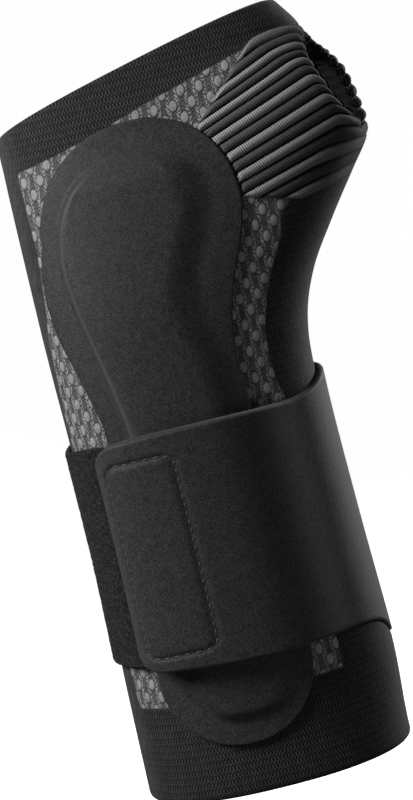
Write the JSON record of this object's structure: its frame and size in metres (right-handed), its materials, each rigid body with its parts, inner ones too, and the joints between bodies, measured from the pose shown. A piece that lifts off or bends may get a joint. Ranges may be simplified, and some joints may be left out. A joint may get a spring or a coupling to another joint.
{
  "type": "wrist brace",
  "caption": "Knitted wrist brace open at forearm, hand and thumb, with a ribbed thumb gusset, a palm pocket over a flat stay and a strap that closes with hook and loop.",
  "frame": {"origin": "middle of the wrist, inside the sleeve, where the brace sits on its wearer", "axes": "+Z along the forearm to the fingers, +X to the thumb side, -Y out of the palm"},
  "size_m": [0.0963, 0.0632, 0.1884],
  "materials": {
    "knit": "dark grey elastic knit, plain, ribbed and bubble stitched",
    "velour": "charcoal brushed velour laminate",
    "loop_pile": "black fuzzy loop pile",
    "hook_tape": "black moulded hook tape"
  },
  "bodies": {
    "root": {"knit_sleeve": "knit", "stay_pocket": "velour", "strap_landing": "loop_pile", "hook_patch": "hook_tape", "strap": "velour"}
  },
  "joints": []
}
